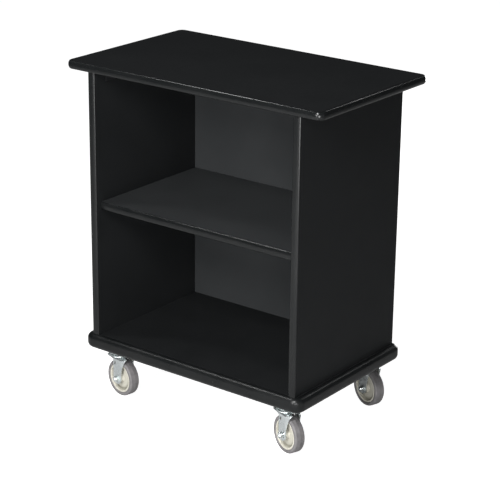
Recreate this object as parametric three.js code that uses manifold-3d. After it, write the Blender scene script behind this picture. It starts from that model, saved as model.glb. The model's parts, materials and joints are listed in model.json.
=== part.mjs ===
// Rolling utility cart: a laminate cabinet, open at the front, with one shelf, a bumper round its
// base and four swivel casters.
// Millimetres, +Z up. The origin is on the floor under the cabinet's centre, the open front faces -Y.

import * as THREE from 'three';
import { mergeVertices } from 'three/addons/utils/BufferGeometryUtils.js';
import Module from 'manifold-3d';

const wasm = await Module();
wasm.setup();

// ---------- Driving dimensions ----------

const fitGap = 0.2;            // between two pieces that are pressed or laid together
const runningGap = 0.4;        // round a pin that something turns on
const raceGap = 0.3;           // between the races, the ball ring and the kingpin's head
const overrun = 1;             // how far a cutter, or a solid that is joined on, runs past a face
const boardThickness = 22;     // top, sides, back and shelf
const recess = 16;             // the back panel and the shelf's edge lie this far inside the sides

const top = {
  width: 802,
  depth: 470,
  thickness: boardThickness,
  cornerRadius: 20,
  trimWall: 7,
  trimRound: 6,
};
const base = {
  width: 713,
  depth: 472,
  thickness: 40,
  cornerRadius: 28,
  trimWall: 17,
  trimRound: 14,
};
const carcass = { width: 669, depth: 450, height: 721.5 };
const shelfTopHeight = 543;    // above the floor
const shelfClearance = 1;      // at the shelf's ends and behind it

// The barb that holds an edge trim in its slot.
const stem = { thickness: 2.4, depth: 8, cornerRadius: 1 };
const slotClearance = 0.4;
const sideTrim = { depth: 6, round: 5 };

const shelfPin = {
  radius: 3,
  inPanel: 9,
  underShelf: 9,
  collarRadius: 5.5,
  collarThickness: 1.5,
  notchGap: 0.5,
  inset: 60,                   // from the shelf's front and rear edges
};
const cleat = { leg: 30, thickness: 2.5, length: 360 };
const baseScrew = {
  radius: 2.5,
  headRadius: 6,
  headHeight: 4,
  rim: 1,
  length: 72,
  sink: 1,
  fromCentre: 110,
};

const casterHeight = 131;      // floor to the underside of the base
const caster = { x: 278, y: 182, trail: 18 };
// Degrees that each caster's wheel is turned from +X behind its kingpin.
const casterHeadings = { front_left: -10, front_right: -19, rear_left: -14, rear_right: -19 };
const plate = {
  length: 92,
  width: 67,
  thickness: 3,
  cornerRadius: 8,
  holeRadius: 4.3,
  holesX: 75,
  holesY: 45,
};
const upperRace = { topRadius: 28, lowRadius: 26, height: 6 };
const ballRing = { inner: 13, outer: 24.5, chamfer: 1.5 };
const kingpin = { radius: 5.7, headRadius: 10, headHeight: 4, rim: 1, chamfer: 2, sunk: 0.5 };
const wheel = { radius: 50.8, width: 30 };
// The tyre's shoulder, from its side to its tread: [in from the tread's radius, in from the side].
const tyreShoulder = [[3, 0.8], [0.7, 4], [0, 9]];
const tyreBead = { width: 3, depth: 1.5 };
const core = {
  radius: 41,
  width: 26,
  hubRadius: 12,
  hubWidth: 35,
  rimWidth: 5,
  rimSlope: 2,
  rimDepth: 5,
  webDepth: 6,
  hubFoot: 3,
};
const fork = {
  sheet: 2.5,
  innerHalf: 20,
  bend: 6,
  crownTop: 111.5,
  raceHeight: 2.5,
  raceInner: 7.7,
  raceRadius: 26,
};
const leg = {
  endRadius: 15,
  frontShoulder: 88,
  rearShoulder: 100,
  crownBack: -24,
  crownFront: 46,
  crownDepth: 4,
};
const legSlot = { width: 6, height: 9, cornerRadius: 2.5, beforeAxle: 8, aboveAxle: 44 };
const lip = { width: 3, thickness: 2.5, lowest: 64, blankLength: 60 };
const crownNotch = { radius: 15, x: 45 };            // the bay in the crown's front edge
const axle = { radius: 5, headAcross: 16, headHeight: 6.4, nutHeight: 8, beyondNut: 2.5 };
const bushing = { inner: 5.4, outer: 7.4, flangeRadius: 15, flangeThickness: 1.5, chamfer: 1 };

const wheelFacets = 24;
const raceFacets = 20;
const pinFacets = 12;
const arcSteps = 3;            // a round corner gets twice as many facets
const bendSteps = 1;           // the same for folded sheet
const plateSteps = 2;          // the same for the caster plate and its holes
const trimSteps = 3;           // facets down a moulding's rounded edge

// ---------- Finishes ----------

const finishes = {
  laminate: { color: 0x1c1e20, roughness: 0.45, metalness: 0 },
  trim: { color: 0x232526, roughness: 0.4, metalness: 0 },
  bumper: { color: 0x1a1c1c, roughness: 0.5, metalness: 0 },
  zinc: { color: 0xa9b4b4, roughness: 0.35, metalness: 0.9 },
  blackSteel: { color: 0x17181a, roughness: 0.5, metalness: 0.3 },
  core: { color: 0xbdbaae, roughness: 0.5, metalness: 0 },
  tyre: { color: 0x6d6b6c, roughness: 0.7, metalness: 0 },
};

// ---------- Solids ----------

function solid(geometry) {
  const bare = geometry.clone();
  bare.deleteAttribute('normal');
  bare.deleteAttribute('uv');
  const merged = mergeVertices(bare, 1e-4);
  return new wasm.Manifold(new wasm.Mesh({
    numProp: 3,
    vertProperties: new Float32Array(merged.attributes.position.array),
    triVerts: new Uint32Array(merged.index.array),
  }));
}

function geometryOf(body) {
  const mesh = body.getMesh();
  const geometry = new THREE.BufferGeometry();
  geometry.setAttribute('position', new THREE.BufferAttribute(new Float32Array(mesh.vertProperties), 3));
  geometry.setIndex(new THREE.BufferAttribute(new Uint32Array(mesh.triVerts), 1));
  geometry.computeVertexNormals();
  return geometry;
}

function roundedRectangle(width, depth, radius) {
  const x = width / 2;
  const y = depth / 2;
  const shape = new THREE.Shape();
  shape.moveTo(-x + radius, -y);
  shape.lineTo(x - radius, -y);
  shape.absarc(x - radius, -y + radius, radius, -Math.PI / 2, 0);
  shape.lineTo(x, y - radius);
  shape.absarc(x - radius, y - radius, radius, 0, Math.PI / 2);
  shape.lineTo(-x + radius, y);
  shape.absarc(-x + radius, y - radius, radius, Math.PI / 2, Math.PI);
  shape.lineTo(-x, -y + radius);
  shape.absarc(-x + radius, -y + radius, radius, Math.PI, Math.PI * 1.5);
  return shape;
}

// A prism of a shape from height z up.
function prism(shape, height, z = 0, curveSegments = arcSteps) {
  const options = { depth: height, bevelEnabled: false, curveSegments };
  return new THREE.ExtrudeGeometry(shape, options).translate(0, 0, z);
}

// A prism of a shape drawn in the X-Z plane, centred on Y = 0.
function prismAlongY(shape, length) {
  return prism(shape, length, -length / 2).rotateX(Math.PI / 2);
}

// A prism of a shape drawn in the Y-Z plane, from x up.
function prismAlongX(shape, length, x, curveSegments) {
  return prism(shape, length, 0, curveSegments)
    .rotateY(Math.PI / 2)
    .rotateX(Math.PI / 2)
    .translate(x, 0, 0);
}

function box(sizeX, sizeY, sizeZ, x, y, z) {
  return new THREE.BoxGeometry(sizeX, sizeY, sizeZ).translate(x, y, z);
}

// A lathe about Z whose profile is a list of [radius, z] that closes on itself or ends on the axis.
function turned(profile, facets) {
  const points = profile.map(([radius, z]) => new THREE.Vector2(radius, z));
  return new THREE.LatheGeometry(points, facets).rotateX(Math.PI / 2);
}

// A closed ring profile between two radii and two heights.
function ringProfile(inner, outer, low, high) {
  return [[inner, low], [outer, low], [outer, high], [inner, high], [inner, low]];
}

// A plain rod's profile from low to high.
function rodProfile(radius, low, high) {
  return [[0, low], [radius, low], [radius, high], [0, high]];
}

const cart = new THREE.Group();

function piece(name, geometry, finish, parent = cart) {
  const mesh = new THREE.Mesh(geometry, new THREE.MeshStandardMaterial(finish));
  mesh.name = name;
  parent.add(mesh);
  return mesh;
}

// ---------- Boards with an edge trim all round: the top and the base ----------

function stemRing(board, extra, innerDepth) {
  const width = board.width - 2 * board.trimWall;
  const depth = board.depth - 2 * board.trimWall;
  const radius = board.cornerRadius - board.trimWall;
  const thickness = stem.thickness + extra;
  const low = (board.thickness - thickness) / 2;
  const outer = roundedRectangle(width + overrun, depth + overrun, radius + overrun / 2);
  const inner = roundedRectangle(width - 2 * innerDepth, depth - 2 * innerDepth, stem.cornerRadius);
  return solid(prism(outer, thickness, low)).subtract(solid(prism(inner, board.thickness)));
}

function boardCore(board) {
  const inset = board.trimWall + fitGap;
  const width = board.width - 2 * inset;
  const depth = board.depth - 2 * inset;
  const outline = roundedRectangle(width, depth, board.cornerRadius - inset);
  const slot = stemRing(board, slotClearance, stem.depth + slotClearance);
  return solid(prism(outline, board.thickness)).subtract(slot);
}

function boardTrim(board) {
  const outline = roundedRectangle(board.width, board.depth, board.cornerRadius);
  const rounded = new THREE.ExtrudeGeometry(outline, {
    depth: board.thickness - 2 * board.trimRound,
    bevelThickness: board.trimRound,
    bevelSize: board.trimRound,
    bevelOffset: -board.trimRound,
    bevelSegments: trimSteps,
    curveSegments: arcSteps,
  }).translate(0, 0, board.trimRound);
  const width = board.width - 2 * board.trimWall;
  const depth = board.depth - 2 * board.trimWall;
  const hole = roundedRectangle(width, depth, board.cornerRadius - board.trimWall);
  return solid(rounded)
    .subtract(solid(prism(hole, board.thickness + 2 * overrun, -overrun)))
    .add(stemRing(board, 0, stem.depth));
}

// ---------- Base ----------

const baseTop = casterHeight + base.thickness;
const sideCentre = (carcass.width - boardThickness) / 2;
const sideInner = sideCentre - boardThickness / 2;
const screwSpots = [];
for (const [side, x] of [['left', -sideCentre], ['right', sideCentre]]) {
  for (const [end, y] of [['front', -baseScrew.fromCentre], ['rear', baseScrew.fromCentre]]) {
    screwSpots.push({ name: `base_screw_${end}_${side}`, x, y });
  }
}

function screwProfile(grow) {
  const { radius, headRadius, headHeight, rim, length, sink } = baseScrew;
  const low = grow > 0 ? -overrun : sink;
  return [
    [0, low],
    [headRadius + grow, low],
    [headRadius + grow, sink + rim],
    [radius + grow, sink + rim + headHeight],
    [radius + grow, length + grow],
    [0, length + grow],
  ];
}

let basePanel = boardCore(base);
for (const { x, y } of screwSpots) {
  basePanel = basePanel.subtract(solid(turned(screwProfile(fitGap), pinFacets).translate(x, y, 0)));
}
piece('base_panel', geometryOf(basePanel), finishes.laminate).position.z = casterHeight;
piece('base_bumper', geometryOf(boardTrim(base)), finishes.bumper).position.z = casterHeight;
for (const { name, x, y } of screwSpots) {
  piece(name, turned(screwProfile(0), pinFacets), finishes.zinc).position.set(x, y, casterHeight);
}

// ---------- Side panels, with a trim on their front and rear edges ----------

const carcassMiddle = baseTop + carcass.height / 2;
const shelfUnderside = shelfTopHeight - boardThickness;
const shelfFront = -carcass.depth / 2 + recess;
const backFront = carcass.depth / 2 - recess - boardThickness;
const pinHeight = shelfUnderside - shelfPin.radius;
const pinSpots = { front: shelfFront + shelfPin.inset, rear: backFront - shelfPin.inset };

// An edge trim's section: a rounded face that looks along -Y and a stem along +Y.
function trimSection() {
  const half = boardThickness / 2;
  const { depth, round } = sideTrim;
  const shape = new THREE.Shape();
  shape.moveTo(-half, 0);
  shape.lineTo(-half, -depth + round);
  shape.absarc(-half + round, -depth + round, round, Math.PI, Math.PI * 1.5);
  shape.lineTo(half - round, -depth);
  shape.absarc(half - round, -depth + round, round, Math.PI * 1.5, Math.PI * 2);
  shape.lineTo(half, 0);
  shape.lineTo(stem.thickness / 2, 0);
  shape.lineTo(stem.thickness / 2, stem.depth);
  shape.lineTo(-stem.thickness / 2, stem.depth);
  shape.lineTo(-stem.thickness / 2, 0);
  shape.closePath();
  return shape;
}

const sideBoardDepth = carcass.depth - 2 * sideTrim.depth;
const slotWidth = stem.thickness + slotClearance;
const slotDepth = stem.depth + slotClearance;

for (const [side, sign] of [['left', -1], ['right', 1]]) {
  const x = sign * sideCentre;
  let panel = solid(box(boardThickness, sideBoardDepth - 2 * fitGap, carcass.height, x, 0, carcassMiddle));
  for (const end of [-1, 1]) {
    const y = end * (sideBoardDepth - slotDepth + overrun) / 2;
    const slotHeight = carcass.height + 2 * overrun;
    panel = panel.subtract(solid(box(slotWidth, slotDepth + overrun, slotHeight, x, y, carcassMiddle)));
  }
  for (const y of Object.values(pinSpots)) {
    const profile = rodProfile(shelfPin.radius + fitGap, -overrun, shelfPin.inPanel + fitGap);
    const hole = turned(profile, pinFacets).rotateY(sign * Math.PI / 2);
    panel = panel.subtract(solid(hole.translate(sign * sideInner, y, pinHeight)));
  }
  for (const spot of screwSpots.filter((screw) => screw.x === x)) {
    const pilot = turned(screwProfile(fitGap), pinFacets).translate(spot.x, spot.y, casterHeight);
    panel = panel.subtract(solid(pilot));
  }
  piece(`${side}_side_panel`, geometryOf(panel), finishes.laminate);

  for (const [end, turn] of [['front', 0], ['rear', Math.PI]]) {
    const trim = piece(`${side}_${end}_trim`, prism(trimSection(), carcass.height), finishes.trim);
    trim.rotation.z = turn;
    trim.position.set(x, (end === 'front' ? -1 : 1) * sideBoardDepth / 2, baseTop);
  }

  for (const [end, y] of Object.entries(pinSpots)) {
    const { radius, inPanel, underShelf, collarRadius, collarThickness } = shelfPin;
    const profile = [
      [0, -inPanel],
      [radius, -inPanel],
      [radius, fitGap],
      [collarRadius, fitGap],
      [collarRadius, collarThickness],
      [radius, collarThickness],
      [radius, underShelf],
      [0, underShelf],
    ];
    const pin = piece(`shelf_pin_${end}_${side}`, turned(profile, pinFacets), finishes.zinc);
    pin.rotation.y = -sign * Math.PI / 2;
    pin.position.set(sign * sideInner, y, pinHeight);
  }
}

// ---------- Back panel and shelf ----------

const innerWidth = 2 * sideInner;
const backY = backFront + boardThickness / 2;
const backBoard = box(innerWidth, boardThickness, carcass.height, 0, backY, carcassMiddle);
piece('back_panel', backBoard, finishes.laminate);

// The shelf's ends are notched for the collars of its pins.
const shelfWidth = innerWidth - 2 * shelfClearance;
const shelfBoardFront = shelfFront + sideTrim.depth;
const shelfBoardDepth = backFront - shelfClearance - shelfBoardFront;
const shelfY = shelfBoardFront + shelfBoardDepth / 2;
const shelfZ = shelfTopHeight - boardThickness / 2;
const shelfSlotY = shelfBoardFront + (slotDepth - overrun) / 2;
const shelfSlot = box(shelfWidth + 2 * overrun, slotDepth + overrun, slotWidth, 0, shelfSlotY, shelfZ);
const shelfDepth = shelfBoardDepth - fitGap;
let shelf = solid(box(shelfWidth, shelfDepth, boardThickness, 0, shelfY + fitGap / 2, shelfZ));
shelf = shelf.subtract(solid(shelfSlot));
for (const sign of [-1, 1]) {
  for (const y of Object.values(pinSpots)) {
    const { collarRadius, collarThickness, notchGap } = shelfPin;
    const profile = rodProfile(collarRadius + notchGap, -overrun, collarThickness + notchGap);
    const notch = turned(profile, pinFacets).rotateY(-sign * Math.PI / 2);
    shelf = shelf.subtract(solid(notch.translate(sign * sideInner, y, pinHeight)));
  }
}
piece('shelf', geometryOf(shelf), finishes.laminate);

const shelfTrim = prism(trimSection(), shelfWidth, -shelfWidth / 2).rotateY(Math.PI / 2);
piece('shelf_front_trim', shelfTrim, finishes.trim).position.set(0, shelfBoardFront, shelfZ);

// ---------- Top, and the angle cleats that hold it to the sides ----------

const topUnderside = baseTop + carcass.height;
piece('top_panel', geometryOf(boardCore(top)), finishes.laminate).position.z = topUnderside;
piece('top_edge_trim', geometryOf(boardTrim(top)), finishes.trim).position.z = topUnderside;

for (const [side, sign] of [['left', -1], ['right', 1]]) {
  const { leg: width, thickness, length } = cleat;
  const section = new THREE.Shape();
  section.moveTo(0, 0);
  section.lineTo(0, -width);
  section.lineTo(thickness, -width);
  section.lineTo(thickness, -thickness);
  section.lineTo(width, -thickness);
  section.lineTo(width, 0);
  section.closePath();
  const angle = prismAlongY(section, length);
  const mesh = piece(`top_cleat_${side}`, angle, finishes.blackSteel);
  mesh.rotation.z = sign > 0 ? Math.PI : 0;
  mesh.position.set(sign * sideInner, 0, topUnderside);
}

// ---------- Casters ----------
// Each is drawn about its own swivel axis, which is local Z, with the wheel behind it along +X.

const axleHeight = wheel.radius;
const forkOuterHalf = fork.innerHalf + fork.sheet;
const plateUnderside = casterHeight - plate.thickness;
const crownUnderside = fork.crownTop - fork.sheet;

function casterPlate() {
  const outline = roundedRectangle(plate.length, plate.width, plate.cornerRadius);
  for (const x of [-plate.holesX / 2, plate.holesX / 2]) {
    for (const y of [-plate.holesY / 2, plate.holesY / 2]) {
      const hole = new THREE.Path();
      hole.absarc(x, y, plate.holeRadius, 0, -Math.PI, true);
      hole.absarc(x, y, plate.holeRadius, -Math.PI, -Math.PI * 2, true);
      outline.holes.push(hole);
    }
  }
  const raceLow = plateUnderside - upperRace.height;
  const race = [
    [0, raceLow],
    [upperRace.lowRadius, raceLow],
    [upperRace.topRadius, plateUnderside + overrun],
    [0, plateUnderside + overrun],
  ];
  const pinHole = rodProfile(kingpin.radius + runningGap, raceLow - overrun, casterHeight + overrun);
  return solid(prism(outline, plate.thickness, plateUnderside, plateSteps))
    .add(solid(turned(race, raceFacets)))
    .subtract(solid(turned(pinHole, pinFacets)));
}

// The fork's side outline in the X-Z plane: a strip up from the axle that spreads to meet the crown.
function forkOutline(shift) {
  const { endRadius, frontShoulder, rearShoulder, crownBack, crownFront } = leg;
  const axleX = caster.trail + shift;
  const crownEdge = fork.crownTop - leg.crownDepth;
  const above = fork.crownTop + overrun;
  const shape = new THREE.Shape();
  shape.moveTo(axleX - endRadius, axleHeight);
  shape.absarc(axleX, axleHeight, endRadius, Math.PI, Math.PI * 2);
  shape.quadraticCurveTo(axleX + endRadius, frontShoulder, crownFront + shift, crownEdge);
  shape.lineTo(crownFront + shift, above);
  shape.lineTo(crownBack + shift, above);
  shape.lineTo(crownBack + shift, crownEdge);
  shape.quadraticCurveTo(axleX - endRadius, crownEdge, axleX - endRadius, rearShoulder);
  shape.closePath();
  return shape;
}

// The fork's front view in the Y-Z plane: an arch with round shoulders.
function archOutline(half, height, bend) {
  const low = axleHeight - leg.endRadius - overrun;
  const shape = new THREE.Shape();
  shape.moveTo(-half, low);
  shape.lineTo(half, low);
  shape.lineTo(half, height - bend);
  shape.absarc(half - bend, height - bend, bend, 0, Math.PI / 2);
  shape.lineTo(-half + bend, height);
  shape.absarc(-half + bend, height - bend, bend, Math.PI / 2, Math.PI);
  shape.closePath();
  return shape;
}

function forkBody() {
  const length = leg.crownFront - leg.crownBack + 2 * overrun;
  const start = leg.crownBack - overrun;
  const outerWidth = 2 * forkOuterHalf;
  const outerArch = archOutline(forkOuterHalf, fork.crownTop, fork.bend);
  const innerArch = archOutline(fork.innerHalf, crownUnderside, fork.bend - fork.sheet);
  const arch = solid(prismAlongX(outerArch, length, start, bendSteps));
  const inside = solid(prismAlongX(innerArch, length + 2 * overrun, start - overrun, bendSteps));
  const outline = solid(prismAlongY(forkOutline(0), outerWidth + 2 * overrun));
  const folded = arch.subtract(inside).intersect(outline);

  // Each leg's front edge is folded in as a narrow lip.
  const behindEdge = solid(prismAlongY(forkOutline(-lip.thickness), outerWidth + 4 * overrun));
  const edge = outline.subtract(behindEdge);
  const lipHeight = fork.crownTop - lip.lowest;
  const lipZ = lip.lowest + lipHeight / 2;
  const lipsWidth = 2 * (fork.innerHalf + overrun);
  const betweenLips = lipsWidth - 2 * (lip.width + overrun);
  const blank = solid(box(lip.blankLength, lipsWidth, lipHeight, leg.crownFront, 0, lipZ));
  const cutLength = lip.blankLength + overrun;
  const gap = solid(box(cutLength, betweenLips, lipHeight + overrun, leg.crownFront, 0, lipZ));
  const lips = blank.subtract(gap);

  const raceTop = fork.crownTop + fork.raceHeight;
  const race = ringProfile(fork.raceInner, fork.raceRadius, crownUnderside + overrun, raceTop);
  const notch = rodProfile(crownNotch.radius, crownUnderside - overrun, raceTop);
  const pinHole = rodProfile(kingpin.radius + runningGap, crownUnderside - overrun, raceTop + overrun);
  const across = forkOuterHalf + overrun;
  const axleHole = turned(rodProfile(axle.radius + runningGap, -across, across), pinFacets)
    .rotateX(Math.PI / 2)
    .translate(caster.trail, 0, axleHeight);
  const slot = prismAlongY(
    roundedRectangle(legSlot.width, legSlot.height, legSlot.cornerRadius),
    outerWidth + 2 * overrun,
  ).translate(caster.trail - legSlot.beforeAxle, 0, axleHeight + legSlot.aboveAxle);
  return folded
    .add(lips.intersect(edge).intersect(arch))
    .add(solid(turned(race, raceFacets)))
    .subtract(solid(turned(notch, raceFacets).translate(crownNotch.x, 0, 0)))
    .subtract(solid(turned(pinHole, pinFacets)))
    .subtract(solid(axleHole))
    .subtract(solid(slot));
}

function kingpinProfile() {
  const { radius, headRadius, headHeight, rim, chamfer, sunk } = kingpin;
  const headTop = crownUnderside - raceGap;
  const end = casterHeight - sunk;
  return [
    [0, headTop - headHeight],
    [headRadius - chamfer, headTop - headHeight],
    [headRadius, headTop - rim],
    [headRadius, headTop],
    [radius, headTop],
    [radius, end],
    [0, end],
  ];
}

function ballRingProfile() {
  const { inner, outer, chamfer } = ballRing;
  const low = fork.crownTop + fork.raceHeight + raceGap;
  const high = plateUnderside - upperRace.height - raceGap;
  return [
    [inner, low],
    [outer - chamfer, low],
    [outer, low + chamfer],
    [outer, high - chamfer],
    [outer - chamfer, high],
    [inner, high],
    [inner, low],
  ];
}

// The rest of the caster's profiles run along the axle: [radius, distance along it].

// A ring that is the same on both sides, from the profile of its outer half.
function symmetricRing(halfProfile) {
  const mirrored = halfProfile.map(([radius, along]) => [radius, -along]).reverse();
  return [...mirrored, ...halfProfile, mirrored[0]];
}

function tyreProfile() {
  const half = wheel.width / 2;
  const inner = core.radius + fitGap / 2;
  const shoulder = tyreShoulder.map(([fromTread, fromSide]) => [wheel.radius - fromTread, half - fromSide]);
  return symmetricRing([
    ...shoulder.reverse(),
    [inner + tyreBead.width, half],
    [inner, half - tyreBead.depth],
  ]);
}

function coreProfile() {
  const { radius, rimWidth, rimSlope, rimDepth, webDepth, hubRadius, hubFoot } = core;
  const rim = core.width / 2;
  const hub = core.hubWidth / 2;
  const outer = radius - fitGap / 2;
  const bore = bushing.outer + runningGap;
  return symmetricRing([
    [outer, rim],
    [outer - rimWidth, rim],
    [outer - rimWidth - rimSlope, rim - rimDepth],
    [hubRadius + hubFoot, rim - webDepth],
    [hubRadius, hub],
    [bore, hub],
  ]);
}

function bushingProfile() {
  const { inner, outer, flangeRadius, flangeThickness, chamfer } = bushing;
  const half = fork.innerHalf - fitGap;
  return [
    [inner, -half],
    [outer, -half],
    [outer, half - flangeThickness],
    [flangeRadius, half - flangeThickness],
    [flangeRadius - chamfer, half],
    [inner, half],
    [inner, -half],
  ];
}

const hexagonSides = 6;

function hexagon(across) {
  const radius = across / 2 / Math.cos(Math.PI / hexagonSides);
  const corners = [];
  for (let corner = 0; corner < hexagonSides; corner += 1) {
    const angle = 2 * Math.PI * corner / hexagonSides;
    corners.push(new THREE.Vector2(radius * Math.cos(angle), radius * Math.sin(angle)));
  }
  return new THREE.Shape(corners);
}

function axleBolt() {
  const start = -forkOuterHalf - fitGap;
  const end = forkOuterHalf + fitGap + axle.nutHeight + axle.beyondNut;
  const head = prism(hexagon(axle.headAcross), axle.headHeight, start - axle.headHeight);
  const shank = turned(rodProfile(axle.radius, start - overrun, end), pinFacets);
  return geometryOf(solid(head).add(solid(shank)));
}

function axleNut() {
  const hole = rodProfile(axle.radius + fitGap, -overrun, axle.nutHeight + overrun);
  const block = solid(prism(hexagon(axle.headAcross), axle.nutHeight));
  const nut = block.subtract(solid(turned(hole, pinFacets)));
  return geometryOf(nut).translate(0, 0, forkOuterHalf + fitGap);
}

const casterSpots = {
  front_left: [-caster.x, -caster.y],
  front_right: [caster.x, -caster.y],
  rear_left: [-caster.x, caster.y],
  rear_right: [caster.x, caster.y],
};

for (const [corner, [x, y]] of Object.entries(casterSpots)) {
  // The plate is square to the base; the rest is turned to the caster's heading.
  const fixed = new THREE.Group();
  fixed.position.set(x, y, 0);
  piece(`caster_plate_${corner}`, geometryOf(casterPlate()), finishes.zinc, fixed);
  piece(`kingpin_${corner}`, turned(kingpinProfile(), pinFacets), finishes.zinc, fixed);
  piece(`ball_ring_${corner}`, turned(ballRingProfile(), raceFacets), finishes.zinc, fixed);
  cart.add(fixed);

  const swivel = new THREE.Group();
  swivel.position.set(x, y, 0);
  swivel.rotation.z = THREE.MathUtils.degToRad(casterHeadings[corner]);
  piece(`fork_${corner}`, geometryOf(forkBody()), finishes.zinc, swivel);

  // On the axle local Z runs out of the nut's side, which is the swivel's -Y.
  const onAxle = new THREE.Group();
  onAxle.position.set(caster.trail, 0, axleHeight);
  onAxle.rotation.x = Math.PI / 2;
  piece(`axle_bolt_${corner}`, axleBolt(), finishes.zinc, onAxle);
  piece(`axle_nut_${corner}`, axleNut(), finishes.zinc, onAxle);
  piece(`axle_bushing_${corner}`, turned(bushingProfile(), pinFacets), finishes.zinc, onAxle);
  piece(`wheel_core_${corner}`, turned(coreProfile(), wheelFacets), finishes.core, onAxle);
  piece(`tyre_${corner}`, turned(tyreProfile(), wheelFacets), finishes.tyre, onAxle);
  swivel.add(onAxle);
  cart.add(swivel);
}

export default cart;
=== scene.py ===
import json
import math

import bmesh
import bpy
from mathutils import Matrix, Vector


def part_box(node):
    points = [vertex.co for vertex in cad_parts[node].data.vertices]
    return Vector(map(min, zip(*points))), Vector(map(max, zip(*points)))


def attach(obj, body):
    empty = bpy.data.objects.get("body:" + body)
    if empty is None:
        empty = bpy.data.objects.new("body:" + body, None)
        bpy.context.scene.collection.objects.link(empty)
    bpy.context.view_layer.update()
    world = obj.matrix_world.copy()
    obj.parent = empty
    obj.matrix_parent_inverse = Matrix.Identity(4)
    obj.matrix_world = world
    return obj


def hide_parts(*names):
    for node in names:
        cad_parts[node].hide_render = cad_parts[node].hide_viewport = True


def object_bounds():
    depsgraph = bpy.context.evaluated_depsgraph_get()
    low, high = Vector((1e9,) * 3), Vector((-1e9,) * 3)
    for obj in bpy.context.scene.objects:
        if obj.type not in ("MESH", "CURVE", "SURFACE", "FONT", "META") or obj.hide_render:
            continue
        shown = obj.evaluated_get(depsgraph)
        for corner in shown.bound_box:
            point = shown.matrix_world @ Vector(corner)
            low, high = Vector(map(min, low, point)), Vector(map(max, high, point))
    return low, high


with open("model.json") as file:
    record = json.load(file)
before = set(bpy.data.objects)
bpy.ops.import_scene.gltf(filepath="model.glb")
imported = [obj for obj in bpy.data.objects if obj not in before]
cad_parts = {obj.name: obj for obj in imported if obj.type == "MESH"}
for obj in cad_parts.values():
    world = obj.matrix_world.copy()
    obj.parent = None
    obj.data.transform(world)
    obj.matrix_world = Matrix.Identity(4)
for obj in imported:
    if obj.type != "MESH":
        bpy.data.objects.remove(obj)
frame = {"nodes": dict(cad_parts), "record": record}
cad_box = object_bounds()


# --------------------------------------
# Laminate boards: top, sides, back, shelf and base. Each is a 22 mm particleboard (40 mm in the
# base) faced on both sides with charcoal high-pressure laminate in a fine suede texture. The back
# and the shelf take a lighter copy of the same laminate, painted light for the front light that
# falls on them. The CAD solids stay and take the laminate finish.

LAMINATE_BOARDS = {
    "top_panel": "outer",
    "left_side_panel": "outer",
    "right_side_panel": "outer",
    "base_panel": "outer",
    # Painted light: the back and the shelf take the lighter copy of the charcoal laminate.
    "back_panel": "inner",
    "shelf": "inner",
}


def add_node(tree, kind, inputs=None, **settings):
    """Adds a node, sets its options, and fills or links its inputs by name or number."""
    node = tree.nodes.new(kind)
    for option, value in settings.items():
        setattr(node, option, value)
    for socket, value in (inputs or {}).items():
        if isinstance(value, bpy.types.NodeSocket):
            tree.links.new(value, node.inputs[socket])
        else:
            node.inputs[socket].default_value = value
    return node


def new_group(name, kind, inputs, outputs):
    """A node group with named sockets, returned with its two end nodes."""
    group = bpy.data.node_groups.new(name, kind)
    for socket, (socket_type, value) in inputs.items():
        made = group.interface.new_socket(socket, in_out="INPUT", socket_type=socket_type)
        if value is not None:
            made.default_value = value
    for socket, socket_type in outputs.items():
        group.interface.new_socket(socket, in_out="OUTPUT", socket_type=socket_type)
    return group, group.nodes.new("NodeGroupInput"), group.nodes.new("NodeGroupOutput")


def arithmetic(tree, operation, first, second):
    """The result of a Math node on two numbers or sockets."""
    return add_node(tree, "ShaderNodeMath", {0: first, 1: second}, operation=operation).outputs[0]


def spread(tree, value, low, high, taken=(0.3, 0.7)):
    """Stretches the taken range of a value, a noise's middle as a rule, to low to high."""
    node = add_node(tree, "ShaderNodeMapRange", {
        "Value": value, "From Min": taken[0], "From Max": taken[1], "To Min": low, "To Max": high})
    return node.outputs[0]


def moulded_grain_group():
    """Fine grain and broad mottling of a pressed or moulded surface, as heights and masks."""
    group, start, end = new_group(
        "moulded_grain",
        "ShaderNodeTree",
        {"Grain Size": ("NodeSocketFloat", 0.0006), "Mottle Size": ("NodeSocketFloat", 0.12)},
        {"Grain": "NodeSocketFloat", "Mottle": "NodeSocketFloat"},
    )
    place = add_node(group, "ShaderNodeTexCoord").outputs["Object"]
    for layer, detail, roughness in (("Grain", 2.0, 0.6), ("Mottle", 5.0, 0.55)):
        scale = arithmetic(group, "DIVIDE", 1.0, start.outputs[f"{layer} Size"])
        noise = add_node(group, "ShaderNodeTexNoise", {
            "Vector": place, "Scale": scale, "Detail": detail, "Roughness": roughness})
        group.links.new(noise.outputs[0], end.inputs[layer])
    return group


def handling_marks_group():
    """Faint smears and hairline scuffs left by use, as one mask."""
    group, start, end = new_group(
        "handling_marks",
        "ShaderNodeTree",
        {"Mark Size": ("NodeSocketFloat", 0.05), "Amount": ("NodeSocketFloat", 0.5)},
        {"Marks": "NodeSocketFloat"},
    )
    place = add_node(group, "ShaderNodeTexCoord").outputs["Object"]
    scale = arithmetic(group, "DIVIDE", 1.0, start.outputs["Mark Size"])
    bent = add_node(group, "ShaderNodeTexNoise", {"Vector": place, "Scale": scale, "Detail": 1.0})
    warped = add_node(group, "ShaderNodeVectorMath", {
        0: place, 1: bent.outputs["Color"], 2: (0.03, 0.03, 0.03)}, operation="MULTIPLY_ADD")
    streak = add_node(group, "ShaderNodeMapping", {
        "Vector": warped.outputs[0], "Rotation": (0.4, 0.7, 0.9), "Scale": (9.0, 1.0, 60.0)})
    hair = add_node(group, "ShaderNodeTexNoise", {
        "Vector": streak.outputs[0], "Scale": scale, "Detail": 3.0})
    thin = spread(group, hair.outputs[0], 0.0, 1.0, (0.62, 0.72))
    smear = spread(group, bent.outputs[0], 0.0, 1.0, (0.45, 0.75))
    both = arithmetic(group, "MULTIPLY", thin, smear)
    amount = arithmetic(group, "MULTIPLY", both, start.outputs["Amount"])
    group.links.new(amount, end.inputs["Marks"])
    return group


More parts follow.
